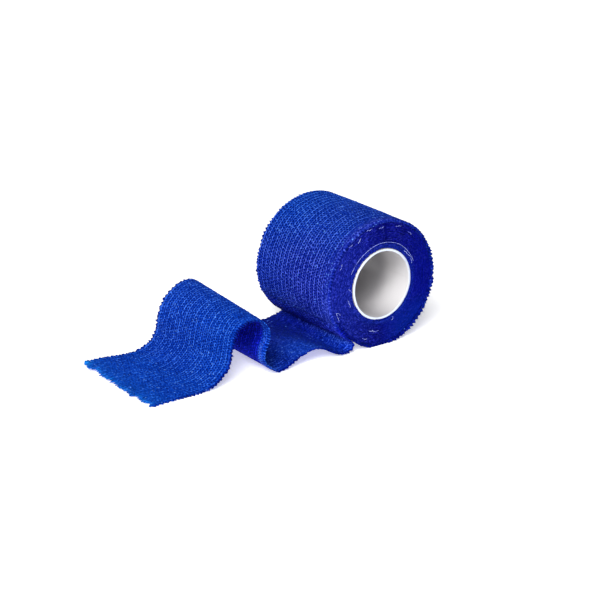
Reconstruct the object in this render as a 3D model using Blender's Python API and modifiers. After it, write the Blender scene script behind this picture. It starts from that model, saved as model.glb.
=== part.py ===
"""Cohesive bandage roll, lying on its side with its loose end run out along the floor.

A crepe bandage 50 mm wide is wound on a plain tube. The roll's axis is along Y, and the origin
is on the floor in the middle of the roll's flat spot. The outermost turn comes down the -X side,
leaves the roll low down, turns back under itself and runs out towards -X: over a low ridge,
through a valley, over a tall open arch and flat along the floor to its cut end.
"""

import math

import bmesh
import bpy
from mathutils import Vector

MM = 0.001

# Bandage roll
BAND_WIDTH = 49.6 * MM
ROLL_RADIUS = 27.5 * MM
ROLL_BORE_RADIUS = 15.6 * MM
AXIS_HEIGHT = 27.2 * MM  # less than the radius, which leaves the flat spot
RIM_ROUNDING = 0.8 * MM
RIM_SEGMENTS = 2
OUTLINE_STEP = 3.0  # degrees between points of the roll's outline
BORE_POINTS = 72

# Core tube
CORE_LENGTH = 50.0 * MM
CORE_RADIUS = 15.3 * MM
CORE_WALL = 1.1 * MM
CORE_EDGE_ROUNDING = 0.35 * MM
CORE_STEPS = 72
CORNER_POINTS = 3

# Loose end: a sheet of even thickness
SHEET = 1.0 * MM
GAP = 0.3 * MM  # left between pieces that touch
LOOSE_WIDTH = 50.2 * MM
SHEET_COLUMNS = 8
ROWS_PER_SPAN = 5

# Angles round the roll, in degrees from straight down, towards -X
LAP_TOP = 62.0  # the loose end's first row; the wound solid steps in below it
LAP_ANGLES = (61.3, 55.0, 49.0, 43.0, 38.0)
LAP_DEPTH = SHEET + GAP
STEP_IN_START = 5.0  # the wound solid narrows from here to the next angle
STEP_IN_END = 30.0

# The loose end's middle drifts towards +Y as it runs out
DRIFT_START_X = -15.0 * MM
DRIFT_BEND_X = -75.0 * MM
DRIFT_AT_ROLL = 0.2 * MM
DRIFT_SLOPE_NEAR = 0.045
DRIFT_SLOPE_FAR = 0.028

# Folds of the loose end, from the roll to the cut end, in mm.
# Each row is one fold line: x and height at its -Y edge, then x and height at its +Y edge.
FOLD_COLUMNS = ("name", "front_x", "front_z", "back_x", "back_z")
FOLDS = (
    ("turn_in", -14.95, 4.20, -14.45, 4.25),
    ("turn", -15.00, 3.00, -14.35, 3.65),
    ("turn_out", -15.60, 1.90, -14.85, 3.20),
    ("lobe", -17.30, 1.15, -16.80, 2.50),
    ("rest", -20.40, 1.05, -19.80, 1.65),
    ("crease", -24.20, 2.20, -23.70, 1.35),
    ("rise", -28.00, 4.50, -27.50, 1.40),
    ("ridge", -33.80, 6.30, -33.00, 1.80),
    ("fall", -39.50, 5.10, -38.00, 1.80),
    ("slope", -45.00, 2.70, -43.50, 1.20),
    ("valley_in", -49.20, 1.00, -47.50, 0.50),
    ("valley_out", -52.00, 0.70, -50.00, 0.50),
    ("toe", -56.40, 3.40, -54.40, 3.00),
    ("leg_low", -59.00, 6.90, -57.00, 6.80),
    ("leg_mid", -58.70, 11.20, -56.70, 11.60),
    ("leg_high", -56.90, 15.60, -55.00, 16.40),
    ("shoulder", -56.90, 20.00, -54.60, 21.20),
    ("crown_in", -60.20, 24.20, -57.20, 25.80),
    ("crown", -64.80, 25.30, -61.70, 26.90),
    ("crown_out", -69.60, 24.10, -67.20, 25.20),
    ("brow", -72.80, 20.20, -72.60, 20.80),
    ("outer_leg", -74.40, 14.50, -75.50, 13.80),
    ("outer_foot", -76.30, 8.00, -76.90, 7.20),
    ("ease", -80.20, 3.90, -79.80, 3.60),
    ("foot", -84.50, 1.50, -83.80, 1.50),
    ("flat", -88.50, 0.50, -88.50, 0.60),
    ("lay", -98.00, 0.50, -98.50, 1.20),
    ("cut_end", -111.30, 0.50, -110.60, 1.80),
)
CUT_BOW = 1.3 * MM  # how far the middle of the cut end stands out beyond its corners

# Looks
BANDAGE_BLUE = (0.010, 0.050, 0.420, 1.0)
LOOSE_BLUE = (0.010, 0.070, 0.480, 1.0)
CORE_WHITE = (0.850, 0.850, 0.850, 1.0)
CLOTH_ROUGHNESS = 0.9
CORE_ROUGHNESS = 0.25

# Modelling tolerances
WELD_DISTANCE = 0.01 * MM
RIM_MIN_ANGLE = 60.0  # degrees: edges sharper than this are the roll's rims
SMOOTH_ANGLE = 40.0  # degrees: edges sharper than this stay sharp when shaded


def clear_scene():
    for old in list(bpy.data.objects):
        bpy.data.objects.remove(old, do_unlink=True)


def make_material(name, colour, roughness):
    material = bpy.data.materials.new(name)
    material.use_nodes = True
    shader = material.node_tree.nodes["Principled BSDF"]
    shader.inputs["Base Color"].default_value = colour
    shader.inputs["Roughness"].default_value = roughness
    shader.inputs["Metallic"].default_value = 0.0
    return material


def add_object(name, data, collection, material):
    data.materials.append(material)
    part = bpy.data.objects.new(name, data)
    collection.objects.link(part)
    return part


def corner_arc(centre_r, centre_z, radius, first_degrees):
    """Points of a quarter circle, turning clockwise from first_degrees."""
    points = []
    for i in range(CORNER_POINTS):
        angle = math.radians(first_degrees - 90.0 * i / (CORNER_POINTS - 1))
        points.append((centre_r + radius * math.cos(angle), centre_z + radius * math.sin(angle)))
    return points


def make_core(collection):
    """The tube: a thin wall with softened edges, turned round its own axis."""
    outer_r = CORE_RADIUS - CORE_EDGE_ROUNDING
    inner_r = CORE_RADIUS - CORE_WALL + CORE_EDGE_ROUNDING
    end_z = CORE_LENGTH / 2 - CORE_EDGE_ROUNDING
    profile = corner_arc(outer_r, end_z, CORE_EDGE_ROUNDING, 90.0)
    profile += corner_arc(outer_r, -end_z, CORE_EDGE_ROUNDING, 0.0)
    profile += corner_arc(inner_r, -end_z, CORE_EDGE_ROUNDING, -90.0)
    profile += corner_arc(inner_r, end_z, CORE_EDGE_ROUNDING, -180.0)
    count = len(profile)
    mesh = bpy.data.meshes.new("core_tube")
    vertices = [(r, 0.0, z) for r, z in profile]
    edges = [(i, (i + 1) % count) for i in range(count)]
    mesh.from_pydata(vertices, edges, [])
    core = add_object("core_tube", mesh, collection, make_material("core", CORE_WHITE, CORE_ROUGHNESS))
    screw = core.modifiers.new("turned", "SCREW")
    screw.axis = "Z"
    screw.steps = CORE_STEPS
    screw.render_steps = CORE_STEPS
    screw.use_merge_vertices = True
    screw.merge_threshold = WELD_DISTANCE
    core.rotation_euler = (math.radians(90.0), 0.0, 0.0)
    core.location = (0.0, 0.0, AXIS_HEIGHT)
    return core


def smoothstep(value):
    value = min(max(value, 0.0), 1.0)
    return value * value * (3.0 - 2.0 * value)


def roll_radius(degrees):
    """Radius of the wound solid: full all round, less by one lap under the loose end's start."""
    narrowed = smoothstep((degrees - STEP_IN_START) / (STEP_IN_END - STEP_IN_START))
    return ROLL_RADIUS - LAP_DEPTH * narrowed


def roll_point(degrees, radius):
    """A point round the axis, as x and height above the floor."""
    angle = math.radians(degrees)
    return -radius * math.sin(angle), AXIS_HEIGHT - radius * math.cos(angle)


def roll_outline():
    """The wound solid's outline, once round from the step under the loose end and back to it."""
    laps = round((360.0 - LAP_TOP) / OUTLINE_STEP)
    points = []
    for i in range(laps + 1):
        degrees = LAP_TOP + (360.0 - LAP_TOP) * i / laps
        points.append(roll_point(degrees, ROLL_RADIUS))
    narrowing = round(LAP_TOP / OUTLINE_STEP)
    for i in range(1, narrowing + 1):
        degrees = LAP_TOP * i / narrowing
        points.append(roll_point(degrees, roll_radius(degrees)))
    return [(x, max(z, 0.0)) for x, z in points]


def bore_outline():
    return [roll_point(360.0 * i / BORE_POINTS, ROLL_BORE_RADIUS) for i in range(BORE_POINTS)]


def add_loop(curve, points):
    spline = curve.splines.new("POLY")
    spline.points.add(len(points) - 1)
    for slot, (x, z) in zip(spline.points, points):
        slot.co = (x, z, 0.0, 1.0)
    spline.use_cyclic_u = True


def mark_rim(mesh):
    """Gives the roll's two outer rims their rounding."""
    bm = bmesh.new()
    bm.from_mesh(mesh)
    bmesh.ops.remove_doubles(bm, verts=bm.verts, dist=WELD_DISTANCE)
    weight = bm.edges.layers.float.new("bevel_weight_edge")
    outer = (ROLL_RADIUS + ROLL_BORE_RADIUS) / 2
    for edge in bm.edges:
        if len(edge.link_faces) != 2 or edge.calc_face_angle() < math.radians(RIM_MIN_ANGLE):
            continue
        centre = Vector((0.0, AXIS_HEIGHT))
        ends = [Vector(v.co.xy) - centre for v in edge.verts]
        across = abs(edge.verts[0].co.z - edge.verts[1].co.z)
        if min(end.length for end in ends) > outer and across < BAND_WIDTH / 2:
            edge[weight] = 1.0
    bm.to_mesh(mesh)
    bm.free()


def make_roll(collection):
    """The wound turns as one ring, with the step where the loose end starts."""
    curve = bpy.data.curves.new("roll_outline", "CURVE")
    curve.dimensions = "2D"
    curve.fill_mode = "BOTH"
    curve.extrude = BAND_WIDTH / 2
    add_loop(curve, roll_outline())
    add_loop(curve, bore_outline())
    guide = bpy.data.objects.new("roll_outline", curve)
    collection.objects.link(guide)
    bpy.context.view_layer.update()
    depsgraph = bpy.context.evaluated_depsgraph_get()
    mesh = bpy.data.meshes.new_from_object(guide.evaluated_get(depsgraph))
    bpy.data.objects.remove(guide, do_unlink=True)
    mark_rim(mesh)
    mesh.materials.clear()
    cloth = make_material("bandage", BANDAGE_BLUE, CLOTH_ROUGHNESS)
    roll = add_object("wound_bandage", mesh, collection, cloth)
    rim = roll.modifiers.new("soft_rims", "BEVEL")
    rim.limit_method = "WEIGHT"
    rim.width = RIM_ROUNDING
    rim.segments = RIM_SEGMENTS
    roll.rotation_euler = (math.radians(90.0), 0.0, 0.0)
    return roll


def middle_y(x):
    """Y of the loose end's middle line at a given x."""
    near_run = min(max(DRIFT_START_X - x, 0.0), DRIFT_START_X - DRIFT_BEND_X)
    far_run = max(DRIFT_BEND_X - x, 0.0)
    return DRIFT_AT_ROLL + DRIFT_SLOPE_NEAR * near_run + DRIFT_SLOPE_FAR * far_run


def edge_points(side):
    """Points along one long edge of the loose end: side is -1 for front, +1 for back."""
    x_column, z_column = ("front_x", "front_z") if side < 0 else ("back_x", "back_z")
    points = []
    for degrees in LAP_ANGLES:
        x, z = roll_point(degrees, ROLL_RADIUS - SHEET / 2)
        points.append(Vector((x, middle_y(x) + side * LOOSE_WIDTH / 2, z)))
    for row in FOLDS:
        fold = dict(zip(FOLD_COLUMNS, row))
        x = fold[x_column] * MM
        z = fold[z_column] * MM
        points.append(Vector((x, middle_y(x) + side * LOOSE_WIDTH / 2, z)))
    return points


def through(points):
    """A smooth line through the points (centripetal Catmull-Rom)."""
    padded = [points[0] * 2 - points[1]] + points + [points[-1] * 2 - points[-2]]
    line = []
    for before, start, end, after in zip(padded, padded[1:], padded[2:], padded[3:]):
        t0 = 0.0
        t1 = t0 + math.sqrt((start - before).length)
        t2 = t1 + math.sqrt((end - start).length)
        t3 = t2 + math.sqrt((after - end).length)
        for i in range(ROWS_PER_SPAN):
            t = t1 + (t2 - t1) * i / ROWS_PER_SPAN
            a1 = before.lerp(start, (t - t0) / (t1 - t0))
            a2 = start.lerp(end, (t - t1) / (t2 - t1))
            a3 = end.lerp(after, (t - t2) / (t3 - t2))
            b1 = a1.lerp(a2, (t - t0) / (t2 - t0))
            b2 = a2.lerp(a3, (t - t1) / (t3 - t1))
            line.append(b1.lerp(b2, (t - t1) / (t2 - t1)))
    line.append(points[-1])
    return line


def make_loose_end(collection):
    """The loose end: a loft from its front edge to its back edge, given its thickness."""
    front = through(edge_points(-1))
    back = through(edge_points(1))
    bm = bmesh.new()
    grid = []
    last = len(front) - 1
    for index, (near, far) in enumerate(zip(front, back)):
        bow = CUT_BOW * max(1.0 - (last - index) / ROWS_PER_SPAN, 0.0)
        row = []
        for column in range(SHEET_COLUMNS + 1):
            across = column / SHEET_COLUMNS
            place = near.lerp(far, across)
            place.x -= bow * 4.0 * across * (1.0 - across)
            place.z = max(place.z, SHEET / 2)
            row.append(bm.verts.new(place))
        grid.append(row)
    for row, next_row in zip(grid, grid[1:]):
        for column in range(SHEET_COLUMNS):
            bm.faces.new((row[column], row[column + 1], next_row[column + 1], next_row[column]))
    mesh = bpy.data.meshes.new("loose_end")
    bm.to_mesh(mesh)
    bm.free()
    cloth = make_material("loose_end", LOOSE_BLUE, CLOTH_ROUGHNESS)
    sheet = add_object("loose_end", mesh, collection, cloth)
    solid = sheet.modifiers.new("thickness", "SOLIDIFY")
    solid.thickness = SHEET
    solid.offset = 0.0
    return sheet


def shade(part):
    part.data.shade_smooth()
    part.data.set_sharp_from_angle(angle=math.radians(SMOOTH_ANGLE))


def main():
    clear_scene()
    collection = bpy.data.collections.new("cohesive_bandage_roll")
    bpy.context.scene.collection.children.link(collection)
    for part in (make_core(collection), make_roll(collection), make_loose_end(collection)):
        shade(part)


main()
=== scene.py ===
"""A crepe bandage wound on a white tube, with its loose end run out over a white table."""

import math

import bmesh
import bpy
import numpy as np
from mathutils import Matrix, Vector


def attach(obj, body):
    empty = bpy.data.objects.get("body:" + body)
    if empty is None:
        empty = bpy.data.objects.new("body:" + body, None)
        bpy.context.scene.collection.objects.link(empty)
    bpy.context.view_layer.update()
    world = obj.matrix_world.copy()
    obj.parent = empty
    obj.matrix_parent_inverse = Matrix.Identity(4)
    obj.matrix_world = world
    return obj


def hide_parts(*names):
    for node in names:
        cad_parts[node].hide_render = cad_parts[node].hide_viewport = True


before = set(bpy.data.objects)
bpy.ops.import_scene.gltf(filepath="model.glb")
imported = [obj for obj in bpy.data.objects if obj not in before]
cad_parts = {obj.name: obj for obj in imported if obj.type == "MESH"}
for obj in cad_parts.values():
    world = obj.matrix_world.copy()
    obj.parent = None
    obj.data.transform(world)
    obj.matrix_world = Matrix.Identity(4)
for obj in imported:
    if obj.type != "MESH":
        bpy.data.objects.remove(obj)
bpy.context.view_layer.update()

MM = 0.001


# ---------------------------------------------------------------------- camera
# A long lens in front of the roll and to its left, a little above it. It looks past the roll's
# open face, so the loose end runs out to the left of the picture.

AXIS_HEIGHT = 27.2 * MM
LENS = 120.0
LENS_SENSOR = 36.0
NEAREST_SEEN = 10.0 * MM
VIEW_TURN = math.radians(53.12)
VIEW_DROP = math.radians(20.54)
VIEW_DISTANCE = 845.0 * MM
ROLL_RIGHT_OF_MIDDLE = 18.9 * MM
ROLL_ABOVE_MIDDLE = 13.6 * MM

rightward = Vector((math.sin(VIEW_TURN), -math.cos(VIEW_TURN), 0.0))
onward = Vector(
    (
        math.cos(VIEW_DROP) * math.cos(VIEW_TURN),
        math.cos(VIEW_DROP) * math.sin(VIEW_TURN),
        -math.sin(VIEW_DROP),
    )
)
upward = rightward.cross(onward)
viewpoint = Vector((0.0, 0.0, AXIS_HEIGHT)) - VIEW_DISTANCE * onward
viewpoint -= ROLL_RIGHT_OF_MIDDLE * rightward + ROLL_ABOVE_MIDDLE * upward


def put(name, data):
    """A new object in the scene, of a mesh, a lamp or a lens."""
    thing = bpy.data.objects.new(name, data)
    bpy.context.scene.collection.objects.link(thing)
    return thing


lens = bpy.data.cameras.new("camera")
lens.lens = LENS
lens.sensor_width = LENS_SENSOR
lens.clip_start = NEAREST_SEEN
camera = put("camera", lens)
turned = Matrix((rightward, upward, -onward)).transposed().to_4x4()
camera.matrix_world = Matrix.Translation(viewpoint) @ turned
bpy.context.scene.camera = camera


# -------------------------------------------------------------- table and light
# A plain white table top under a big soft lamp at the left, in a white room that fills in the
# shadows from every side.

TABLE_SIZE = 6.0
TABLE_WHITE = (0.86, 0.86, 0.86, 1.0)
GLOW_NEAR = 0.48
GLOW_FAR = 1.00
GLOW_FROM = 0.28
GLOW_TO = 1.40
ROOM_LIGHT = 0.20
ROOM_SEEN = 1.0
PURE_WHITE = (1.0, 1.0, 1.0, 1.0)
LAMP_PLACE = (-0.86, -0.74, 1.02)
LAMP_WIDTH = 0.85
LAMP_WATTS = 35.0
LAMP_AIM = (-0.03, 0.0, 0.02)


def fill(node, inputs):
    """Sets a node's inputs to the values given, or links them to the outputs given."""
    for slot, value in inputs.items():
        if isinstance(value, bpy.types.NodeSocket):
            node.id_data.links.new(value, node.inputs[slot])
        else:
            node.inputs[slot].default_value = value


def start(tree, kind, **settings):
    """Adds a node to a tree of them, with nothing running into it yet."""
    node = tree.nodes.new(kind)
    for key, value in settings.items():
        setattr(node, key, value)
    return node


def add(kind, inputs, **settings):
    """Adds a node beside those that run into it."""
    tree = next(value.id_data for value in inputs.values() if isinstance(value, bpy.types.NodeSocket))
    node = start(tree, kind, **settings)
    fill(node, inputs)
    return node


table_mesh = bpy.data.meshes.new("table")
half = TABLE_SIZE / 2
corners = [(-half, -half, 0.0), (half, -half, 0.0), (half, half, 0.0), (-half, half, 0.0)]
table_mesh.from_pydata(corners, [], [(0, 1, 2, 3)])
table = put("table", table_mesh)
table_white = bpy.data.materials.new("table_white")
table_white.use_nodes = True
spot = start(table_white.node_tree, "ShaderNodeTexCoord").outputs["Object"]
away = add("ShaderNodeVectorMath", {0: spot}, operation="LENGTH").outputs["Value"]
glow_ends = {"From Min": GLOW_FROM, "From Max": GLOW_TO, "To Min": GLOW_NEAR, "To Max": GLOW_FAR}
table_finish = {
    "Base Color": TABLE_WHITE,
    "Roughness": 1.0,
    "Specular IOR Level": 0.0,
    "Emission Color": PURE_WHITE,
    "Emission Strength": add("ShaderNodeMapRange", {"Value": away, **glow_ends}).outputs["Result"],
}
fill(table_white.node_tree.nodes["Principled BSDF"], table_finish)
table_mesh.materials.append(table_white)

room = bpy.data.worlds.new("room")
room.use_nodes = True
seen = start(room.node_tree, "ShaderNodeLightPath").outputs["Is Camera Ray"]
level = add("ShaderNodeMapRange", {"Value": seen, "To Min": ROOM_LIGHT, "To Max": ROOM_SEEN})
fill(room.node_tree.nodes["Background"], {"Color": PURE_WHITE, "Strength": level.outputs["Result"]})
bpy.context.scene.world = room

lamp = bpy.data.lights.new("lamp", "AREA")
lamp.size = LAMP_WIDTH
lamp.energy = LAMP_WATTS
lamp_stand = put("lamp", lamp)
lamp_stand.location = LAMP_PLACE
lamp_stand.rotation_euler = (Vector(LAMP_AIM) - Vector(LAMP_PLACE)).to_track_quat("-Z", "Y").to_euler()

bpy.context.scene.view_settings.view_transform = "Standard"


# ------------------------------------------------------------------- core tube
# The tube that the bandage is wound on: a thin glossy white wall with softly rounded ends,
# slightly out of true. It holds the turns by their grip alone.

CORE_LENGTH = 50.0 * MM
CORE_RADIUS = 15.3 * MM
CORE_WALL = 1.1 * MM
CORE_ROUNDING = 0.4 * MM
CORE_SLIP_X = 0.18 * MM
CORE_SLIP_Z = -0.15 * MM
OUT_OF_TRUE = 0.05 * MM
END_WAVE = 0.06 * MM
CORE_STEPS = 240
CORE_RIM_STEPS = 6
CORE_LENGTH_STEPS = 24
# The rim's white, and darker towards its right side as painted shade
RIM_WHITE = (0.59, 0.66, 0.78, 1.0)
RIM_RIGHT_PAINTED_SHADE = (0.45, 0.50, 0.62, 1.0)
# The bore's wall: greyed all over as painted shade, with darker mottling, and painted lighter on its left
# side and on its right side near both mouths as painted light
WALL_GREY_PAINTED_SHADE = (0.400, 0.390, 0.405, 1.0)
WALL_SHADE = (0.345, 0.336, 0.350, 1.0)
WALL_RIGHT_PAINTED_LIGHT = (0.645, 0.63, 0.635, 1.0)
WALL_LEFT_PAINTED_LIGHT = (0.50, 0.49, 0.505, 1.0)


def smooth(value):
    """Rises softly from 0 to 1."""
    value = np.clip(value, 0.0, 1.0)
    return value * value * (3.0 - 2.0 * value)


def chance(i, j, seed):
    """A fixed random number from -1 to 1 for each whole-numbered place."""
    code = (i * 374761393 + j * 668265263 + seed * 362437) & 0xFFFFFFFF
    code = ((code ^ (code >> 13)) * 1274126177) & 0xFFFFFFFF
    return ((code ^ (code >> 16)) & 0xFFFF) / 32767.5 - 1.0


def waver(a, b, seed):
    """Smooth random waves from -1 to 1, about one for each unit of a and b."""
    a, b = np.broadcast_arrays(np.asarray(a, float), np.asarray(b, float))
    i = np.floor(a).astype(np.int64)
    j = np.floor(b).astype(np.int64)
    fa = smooth(a - i)
    fb = smooth(b - j)
    near = chance(i, j, seed) * (1 - fa) + chance(i + 1, j, seed) * fa
    far = chance(i, j + 1, seed) * (1 - fa) + chance(i + 1, j + 1, seed) * fa
    return near * (1 - fb) + far * fb


def rounded_corner(radius, height, rounding, first):
    """A quarter circle of the tube's section, as radius and height."""
    turns = np.radians(first - 90.0 * np.arange(CORE_RIM_STEPS + 1) / CORE_RIM_STEPS)
    return np.stack([radius + rounding * np.cos(turns), height + rounding * np.sin(turns)], 1)


def mesh_piece(name, points, faces):
    """A smooth-shaded object of the given points and faces."""
    mesh = bpy.data.meshes.new(name)
    mesh.from_pydata(points.reshape(-1, 3).tolist(), [], faces)
    mesh.shade_smooth()
    return put(name, mesh)


def skin(name, rings, round_and_round=False, end_faces=()):
    """A skin over rings of points, each ring joined to the next, with any end faces given for it."""
    rows, points, _ = rings.shape
    index = np.arange(rows * points).reshape(rows, points)
    if round_and_round:
        index = np.vstack([index, index[:1]])
    beside = np.roll(index, -1, axis=1)
    quads = np.stack([index[:-1], beside[:-1], beside[1:], index[1:]], axis=-1).reshape(-1, 4)
    return mesh_piece(name, rings, quads.tolist() + list(end_faces))


def close_ends(piece):
    """Closes the open ends of a skin and turns all its faces outwards."""
    bm = bmesh.new()
    bm.from_mesh(piece.data)
    open_edges = [edge for edge in bm.edges if edge.is_boundary]
    if open_edges:
        bmesh.ops.holes_fill(bm, edges=open_edges, sides=0)
    bmesh.ops.recalc_face_normals(bm, faces=bm.faces)
    bm.to_mesh(piece.data)
    bm.free()


def figure(how, a, b=0.0):
    """One sum with two numbers, each of them a value or a node's output."""
    return add("ShaderNodeMath", {0: a, 1: b}, operation=how).outputs[0]


def times(a, b):
    return figure("MULTIPLY", a, b)


def plus(a, b):
    return figure("ADD", a, b)


def rise(value, low, high):
    """Goes softly from 0 to 1 as a node's output goes from low to high."""
    ends = {"Value": value, "From Min": low, "From Max": high}
    return add("ShaderNodeMapRange", ends, interpolation_type="SMOOTHSTEP").outputs["Result"]


def mixed(amount, a, b, how="MIX"):
    """Colour b laid over colour a by the given amount; 6, 7 and 2 are the node's colour sockets."""
    return add("ShaderNodeMix", {"Factor": amount, 6: a, 7: b}, data_type="RGBA", blend_type=how).outputs[2]


def noise(where, scale, detail, **more):
    """Cloudy noise from 0 to 1; scale is in clouds for each metre."""
    inputs = {"Vector": where, "Scale": scale, "Detail": detail, **more}
    return add("ShaderNodeTexNoise", inputs).outputs["Fac"]


def dimpled(height, strength, depth):
    """A surface that is raised and sunk by a height."""
    inputs = {"Height": height, "Strength": strength, "Distance": depth}
    return add("ShaderNodeBump", inputs).outputs["Normal"]


def parts_of(place):
    """The X, Y and Z of a place."""
    return add("ShaderNodeSeparateXYZ", {"Vector": place}).outputs


def plain_material(name, roughness, specular):
    """A new material, its shader, and the place on the object that its noises are laid by."""
    material = bpy.data.materials.new(name)
    material.use_nodes = True
    shader = material.node_tree.nodes["Principled BSDF"]
    fill(shader, {"Roughness": roughness, "Specular IOR Level": specular})
    return material, shader, start(material.node_tree, "ShaderNodeTexCoord").outputs["Object"]


core_inner = CORE_RADIUS - CORE_WALL
core_end = CORE_LENGTH / 2 - CORE_ROUNDING
outer_line = np.linspace(core_end, -core_end, CORE_LENGTH_STEPS)[1:-1]
core_section = np.vstack(
    [
        rounded_corner(CORE_RADIUS - CORE_ROUNDING, core_end, CORE_ROUNDING, 90.0),
        np.stack([np.full_like(outer_line, CORE_RADIUS), outer_line], 1),
        rounded_corner(CORE_RADIUS - CORE_ROUNDING, -core_end, CORE_ROUNDING, 0.0),
        rounded_corner(core_inner + CORE_ROUNDING, -core_end, CORE_ROUNDING, -90.0),
        np.stack([np.full_like(outer_line, core_inner), -outer_line], 1),
        rounded_corner(core_inner + CORE_ROUNDING, core_end, CORE_ROUNDING, 180.0),
    ]
)
core_turn = 2 * np.pi * np.arange(CORE_STEPS)[:, None] / CORE_STEPS
core_along = core_section[None, :, 1]
core_r = core_section[None, :, 0] + OUT_OF_TRUE * waver(core_turn * 1.9, core_along / (20 * MM), 3)
core_y = core_along + END_WAVE * waver(core_turn * 3.5, core_along / (30 * MM), 4)
core_x = CORE_SLIP_X + core_r * np.cos(core_turn)
core_z = AXIS_HEIGHT + CORE_SLIP_Z + core_r * np.sin(core_turn)
core = skin("tube", np.stack([core_x, core_y, core_z], -1), round_and_round=True)
close_ends(core)

core_white, core_shader, where = plain_material("glossy_white_tube", 0.3, 0.5)
mottle = noise(where, 160.0, 3.0)
# Painted shade: the wall greyed all over, with random darker mottling
wall = mixed(mottle, WALL_GREY_PAINTED_SHADE, WALL_SHADE)
place = parts_of(where)
out_from_middle = figure("ABSOLUTE", place["Y"])
near_mouth = rise(out_from_middle, 5.0 * MM, 14.0 * MM)
# Painted light: the wall lighter on its left side, and lighter still on its right side near both mouths
wall = mixed(rise(place["X"], 0.0, -12.0 * MM), wall, WALL_LEFT_PAINTED_LIGHT)
wall = mixed(times(rise(place["X"], -2.0 * MM, 13.0 * MM), times(near_mouth, 0.85)), wall, WALL_RIGHT_PAINTED_LIGHT)
at_rim = rise(out_from_middle, core_end + 0.18 * MM, core_end + 0.37 * MM)
# Painted shade: the rim darker towards its right side
rim = mixed(rise(place["X"], 4.0 * MM, 14.0 * MM), RIM_WHITE, RIM_RIGHT_PAINTED_SHADE)
gloss = add("ShaderNodeMapRange", {"Value": mottle, "To Min": 0.24, "To Max": 0.45})
core_finish = {
    "Base Color": mixed(at_rim, wall, rim),
    "Roughness": gloss.outputs["Result"],
    "Normal": dimpled(noise(where, 900.0, 2.0), 0.12, 0.20 * MM),
    "Coat Weight": 0.2,
    "Coat Roughness": 0.15,
}
fill(core_shader, core_finish)
core.data.materials.append(core_white)
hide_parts("core_tube")
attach(core, "root")


# ----------------------------------------------------------------- wound turns
# One long strip of elastic crepe, wound tight from the tube outwards. Only the rims of these
# inner turns show, as a velvety face of cut fibres at each end of the roll.

BAND_HALF = 24.8 * MM
ROLL_RADIUS = 27.5 * MM
BORE_RADIUS = 15.6 * MM
LAP_TOP = 62.0
LAP_DEPTH = 1.3 * MM
STEP_IN_START = 5.0
STEP_IN_END = 30.0
WOUND_TURNS = 18
SLACK_TURNS = 6.0
TURN_STEP = 0.40 * MM
TOOTH_PITCH = 1.7 * MM
OFF_TABLE = 0.03 * MM
FACE_NAVY = (0.0030, 0.0045, 0.212, 1.0)
FACE_DEEP = (0.0006, 0.0012, 0.090, 1.0)
FACE_BRIGHT = (0.030, 0.043, 0.420, 1.0)
FACE_INNER = (0.0060, 0.0190, 0.270, 1.0)
# Painted light and shade on the face: lighter on its left and low on its right, darker on its right
FACE_LEFT_PAINTED_LIGHT = (0.0065, 0.0150, 0.245, 1.0)
FACE_RIGHT_PAINTED_SHADE = (0.0005, 0.0022, 0.160, 1.0)
FACE_LOW_PAINTED_LIGHT = (0.0008, 0.0150, 0.225, 1.0)

# The rim of a turn: how far in from the rim, and how far out from the turn's middle, of its thickness
TURN_SECTION = (
    (3.00, -0.49),
    (0.40, -0.48),
    (0.06, -0.30),
    (0.00, 0.00),
    (0.06, 0.32),
    (0.40, 0.50),
)


def teeth(along, seed):
    """The ragged line of the strip's cut edge, from -1 to 1: one tooth for each crepe ridge."""
    wave = along / TOOTH_PITCH + 0.55 * waver(along / (3.7 * MM), seed, 21)
    tooth = 1.0 - 2.0 * np.abs(2.0 * (wave - np.floor(wave)) - 1.0)
    tooth = tooth * (0.95 + 0.45 * chance(np.floor(wave + 0.5).astype(np.int64), 0, 24))
    tooth = 0.50 * tooth + 0.60 * waver(along / (0.75 * MM), seed, 22)
    return tooth + 0.3 * waver(along / (7 * MM), seed, 23)


wound_outside = ROLL_RADIUS - LAP_DEPTH
turn_depth = (wound_outside - BORE_RADIUS) / WOUND_TURNS
strip_length = math.pi * (wound_outside**2 - BORE_RADIUS**2) / turn_depth
run = np.linspace(0.0, strip_length, int(strip_length / TURN_STEP))
left_area = wound_outside**2 - turn_depth * run / math.pi
turned_by = (wound_outside - np.sqrt(left_area)) * 2 * math.pi / turn_depth
turned_by = np.minimum(turned_by, 2 * math.pi * WOUND_TURNS - 1e-6)
turn_number = np.floor(turned_by / (2 * math.pi))
through_turn = turned_by / (2 * math.pi) - turn_number
past_lap = through_turn * 360.0 + LAP_TOP - 360.0 - STEP_IN_START
step_in = smooth(past_lap / (STEP_IN_END - STEP_IN_START))
evenness = np.minimum(turn_number / SLACK_TURNS, 1.0)
sunk = step_in * (1 - evenness) + through_turn * evenness
turn_top = wound_outside - turn_depth * (turn_number + sunk)
turn_angle = np.radians(LAP_TOP) + turned_by

rings = []
for side in (-1, 1):
    ragged = 0.26 * MM * teeth(run, 5.0 * side + 0.5)
    ragged += 0.24 * MM * waver(run / (0.9 * MM), 0.5, 30 + side)
    ragged += 0.16 * MM * waver(turned_by / 0.7, turn_number, 32 + side)
    ragged += 0.07 * MM * chance(turn_number.astype(np.int64), 0, 34 + side)
    flare = 0.14 * MM * waver(run / (1.3 * MM), 0.5, 36 + side)
    flare += 0.12 * MM * waver(run / (6 * MM), 0.5, 38 + side)
    section = TURN_SECTION if side < 0 else TURN_SECTION[::-1]
    for inset, out in section:
        at_edge = 1.0 if inset < 1 else 0.0
        y = side * (BAND_HALF - inset * MM + at_edge * ragged)
        r = turn_top - turn_depth * (0.5 - out) + at_edge * flare
        x = -r * np.sin(turn_angle)
        z = AXIS_HEIGHT - r * np.cos(turn_angle)
        rings.append(np.stack([x, y, np.maximum(z, OFF_TABLE)], -1))
wound = skin("wound_turns", np.stack(rings, 1))
close_ends(wound)


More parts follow.
